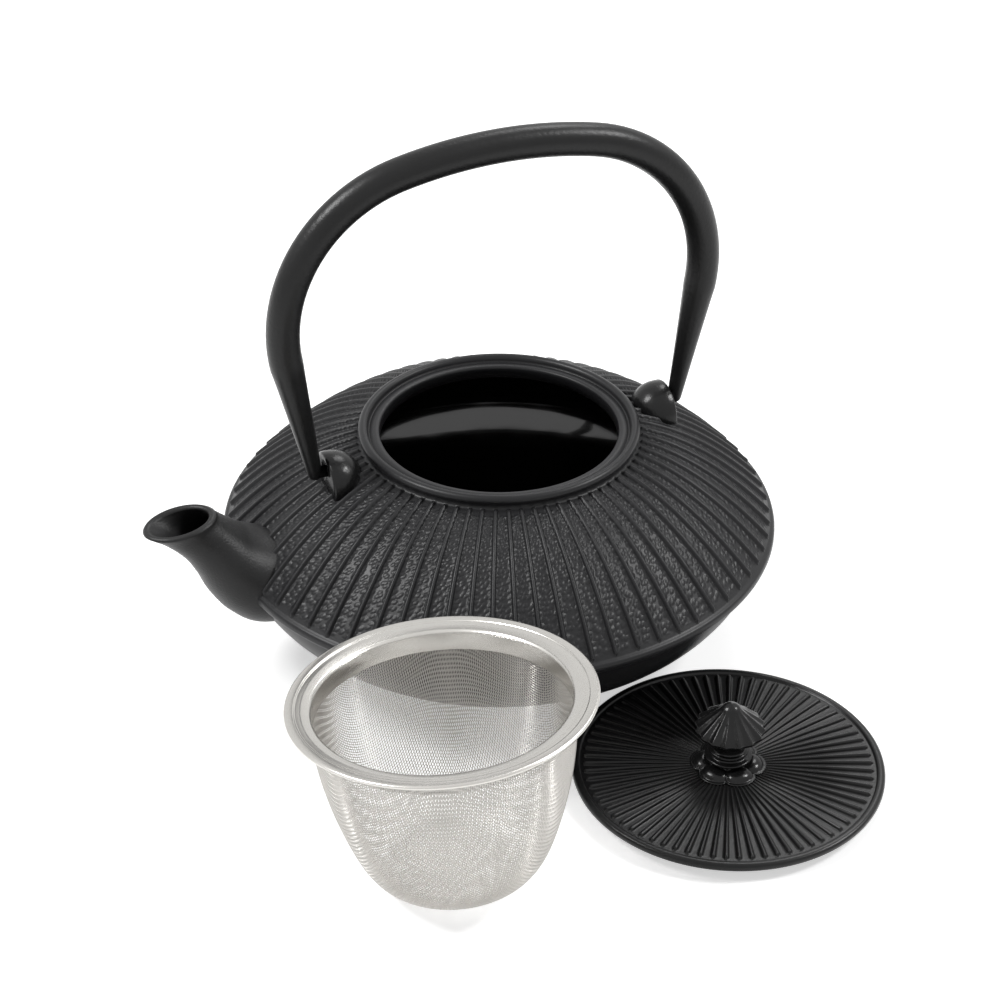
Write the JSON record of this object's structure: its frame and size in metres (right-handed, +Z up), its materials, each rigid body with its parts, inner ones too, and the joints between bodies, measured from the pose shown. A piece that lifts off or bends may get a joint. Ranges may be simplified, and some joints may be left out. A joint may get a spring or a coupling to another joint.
{
  "type": "teapot",
  "caption": "Low round cast-iron teapot with a ribbed shoulder, short spout and hinged bail handle, its knobbed lid and mesh tea infuser standing beside it.",
  "frame": {"origin": "centre of the pot's flat foot, on the table", "axes": "+Z up along the pot's axis, spout towards -X, hinge line of the handle along X, lid and infuser on the -Y side"},
  "size_m": [0.205, 0.2428, 0.1697],
  "materials": {
    "black_iron": "satin black",
    "black_enamel": "gloss black enamel",
    "stainless": "polished rim, woven wire"
  },
  "bodies": {
    "pot": {"pot_body": "black_iron", "enamel_lining": "black_enamel", "spout": "black_iron", "front_lug": "black_iron", "back_lug": "black_iron"},
    "bail": {"handle": "black_iron"},
    "lid": {"lid_plate": "black_iron", "knob_rosette": "black_iron", "lid_knob": "black_iron", "knob_rivet": "black_iron"},
    "infuser": {"infuser_rim": "stainless", "infuser_band": "stainless", "infuser_mesh": "stainless"}
  },
  "joints": [
    {"name": "handle_hinge", "type": "hinge", "parent": "pot", "child": "bail", "pos_m": [0, 0, 0.066], "axis": [1, 0, 0], "range_deg": [-85, 85]},
    {"name": "lid_lift", "type": "slide", "parent": "pot", "child": "lid", "axis": [0.1685, -0.6867, 0.7072], "range_m": [0, 0.12]},
    {"name": "infuser_lift", "type": "slide", "parent": "pot", "child": "infuser", "axis": [0, 0, 1], "range_m": [0, 0.15]}
  ]
}
